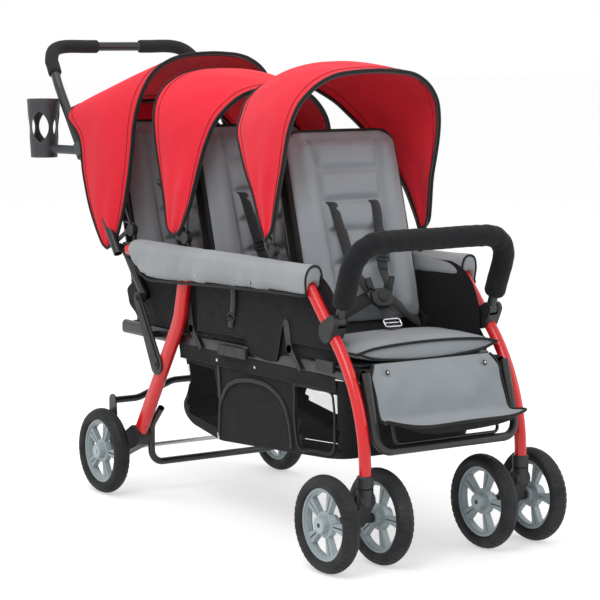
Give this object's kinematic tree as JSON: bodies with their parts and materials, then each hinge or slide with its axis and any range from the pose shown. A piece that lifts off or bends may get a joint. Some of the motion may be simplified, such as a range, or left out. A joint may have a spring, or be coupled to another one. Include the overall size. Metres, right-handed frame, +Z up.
{
  "type": "stroller",
  "caption": "Tandem daycare stroller: padded seats in line with folding canopies, bumper bar, footrest, under-seat basket, swivel front wheels and a folding push handle.",
  "frame": {"origin": "on the ground, on the centre plane, in the middle of the overall length", "axes": "+Y towards the rear where the handle is, +Z up, +X to the left of the person who pushes"},
  "size_m": [0.5734, 1.412, 1.055],
  "materials": {
    "red_frame": "gloss",
    "black_frame": "satin",
    "axle_steel": "satin",
    "black_plastic": "matte",
    "grey_fabric": "woven",
    "light_grey_fabric": "woven",
    "black_fabric": "woven",
    "red_fabric": "woven",
    "grip_foam": "matte",
    "tyre": "matte",
    "rim": "satin"
  },
  "bodies": {
    "chassis": {"frame_tube_right": "red_frame", "frame_tube_left": "red_frame", "seat_rail_right": "black_frame", "seat_rail_left": "black_frame", "cross_tubes": "black_frame", "seat_boards": "black_plastic", "seat_cushions": "grey_fabric", "frame_brackets": "black_frame", "handle_stubs": "black_frame", "side_plates": "black_plastic", "footrest_frame": "black_frame", "footrest_tray": "black_frame", "calf_panel": "grey_fabric", "side_panels": "black_fabric", "arm_pads": "light_grey_fabric", "basket": "black_fabric", "caster_sockets": "black_plastic", "bumper_clamps": "black_plastic", "canopy_front": "red_fabric", "canopy_middle": "red_fabric", "canopy_rear": "red_fabric", "canopy_posts": "black_plastic", "canopy_rear_bows": "black_frame", "rail_fittings": "black_plastic", "harness_buckles": "black_plastic"},
    "rear_frame": {"rear_leg_right": "red_frame", "rear_leg_left": "red_frame", "rear_axle": "axle_steel", "hub_brackets": "black_plastic", "stand_bar": "black_frame"},
    "brake": {"brake_bar": "black_frame"},
    "rear_wheel_right": {"rear_tyre_right": "tyre", "rear_rim_right": "rim"},
    "rear_wheel_left": {"rear_tyre_left": "tyre", "rear_rim_left": "rim"},
    "caster_right": {"caster_fork_right": "black_plastic"},
    "caster_left": {"caster_fork_left": "black_plastic"},
    "handle": {"handle_tube": "black_frame", "grips": "grip_foam", "cup_holder": "black_plastic"},
    "bumper": {"bumper_bar": "black_frame", "bumper_sleeve": "grey_fabric"},
    "wheel_inner_right": {"front_tyre_inner_right": "tyre", "front_rim_inner_right": "rim"},
    "wheel_outer_right": {"front_tyre_outer_right": "tyre", "front_rim_outer_right": "rim"},
    "wheel_inner_left": {"front_tyre_inner_left": "tyre", "front_rim_inner_left": "rim"},
    "wheel_outer_left": {"front_tyre_outer_left": "tyre", "front_rim_outer_left": "rim"},
    "seat_back_front": {"seat_back_front": "grey_fabric", "back_board_front": "black_plastic"},
    "bow_front": {"canopy_bow_front": "black_frame"},
    "seat_back_middle": {"seat_back_middle": "grey_fabric", "back_board_middle": "black_plastic"},
    "bow_middle": {"canopy_bow_middle": "black_frame"},
    "seat_back_rear": {"seat_back_rear": "grey_fabric", "back_board_rear": "black_plastic"},
    "bow_rear": {"canopy_bow_rear": "black_frame"}
  },
  "joints": [
    {"name": "handle_fold", "type": "hinge", "parent": "chassis", "child": "handle", "pos_m": [0, 0.329, 0.582], "axis": [1, 0, 0], "range_deg": [0, 80]},
    {"name": "rear_frame_fold", "type": "hinge", "parent": "chassis", "child": "rear_frame", "pos_m": [0, 0.042, 0.54], "axis": [1, 0, 0], "range_deg": [-55, 0]},
    {"name": "brake_press", "type": "hinge", "parent": "rear_frame", "child": "brake", "pos_m": [0, 0.34, 0.1], "axis": [1, 0, 0], "range_deg": [-25, 0]},
    {"name": "rear_wheel_right_spin", "type": "hinge", "parent": "rear_frame", "child": "rear_wheel_right", "pos_m": [-0.246, 0.34, 0.1], "axis": [1, 0, 0], "continuous": true},
    {"name": "rear_wheel_left_spin", "type": "hinge", "parent": "rear_frame", "child": "rear_wheel_left", "pos_m": [0.246, 0.34, 0.1], "axis": [1, 0, 0], "continuous": true},
    {"name": "bumper_swing", "type": "hinge", "parent": "chassis", "child": "bumper", "pos_m": [0, -0.546, 0.496], "axis": [1, 0, 0], "range_deg": [0, 65]},
    {"name": "caster_right_swivel", "type": "hinge", "parent": "chassis", "child": "caster_right", "pos_m": [-0.2, -0.644, 0.17], "axis": [0, 0, 1], "continuous": true},
    {"name": "wheel_inner_right_spin", "type": "hinge", "parent": "caster_right", "child": "wheel_inner_right", "pos_m": [-0.1343, -0.606, 0.1], "axis": [1, 0, 0], "continuous": true},
    {"name": "wheel_outer_right_spin", "type": "hinge", "parent": "caster_right", "child": "wheel_outer_right", "pos_m": [-0.2657, -0.606, 0.1], "axis": [1, 0, 0], "continuous": true},
    {"name": "caster_left_swivel", "type": "hinge", "parent": "chassis", "child": "caster_left", "pos_m": [0.2, -0.644, 0.17], "axis": [0, 0, 1], "continuous": true},
    {"name": "wheel_inner_left_spin", "type": "hinge", "parent": "caster_left", "child": "wheel_inner_left", "pos_m": [0.1343, -0.606, 0.1], "axis": [1, 0, 0], "continuous": true},
    {"name": "wheel_outer_left_spin", "type": "hinge", "parent": "caster_left", "child": "wheel_outer_left", "pos_m": [0.2657, -0.606, 0.1], "axis": [1, 0, 0], "continuous": true},
    {"name": "seat_back_front_recline", "type": "hinge", "parent": "chassis", "child": "seat_back_front", "pos_m": [0, -0.382, 0.456], "axis": [1, 0, 0], "range_deg": [-20, 0]},
    {"name": "seat_back_middle_recline", "type": "hinge", "parent": "chassis", "child": "seat_back_middle", "pos_m": [0, -0.032, 0.456], "axis": [1, 0, 0], "range_deg": [-20, 0]},
    {"name": "seat_back_rear_recline", "type": "hinge", "parent": "chassis", "child": "seat_back_rear", "pos_m": [0, 0.318, 0.456], "axis": [1, 0, 0], "range_deg": [-20, 0]},
    {"name": "canopy_front_fold", "type": "hinge", "parent": "chassis", "child": "bow_front", "pos_m": [0, -0.307, 0.621], "axis": [1, 0, 0], "range_deg": [-45, 0], "deforming": ["canopy_front"]},
    {"name": "canopy_middle_fold", "type": "hinge", "parent": "chassis", "child": "bow_middle", "pos_m": [0, 0.043, 0.621], "axis": [1, 0, 0], "range_deg": [-35, 0], "deforming": ["canopy_middle"]},
    {"name": "canopy_rear_fold", "type": "hinge", "parent": "chassis", "child": "bow_rear", "pos_m": [0, 0.284, 0.621], "axis": [1, 0, 0], "range_deg": [-39, 0], "deforming": ["canopy_rear"]}
  ],
  "couplings": [
    {"joint": "rear_frame_fold", "follows": "handle_fold", "ratio": -0.6875}
  ]
}
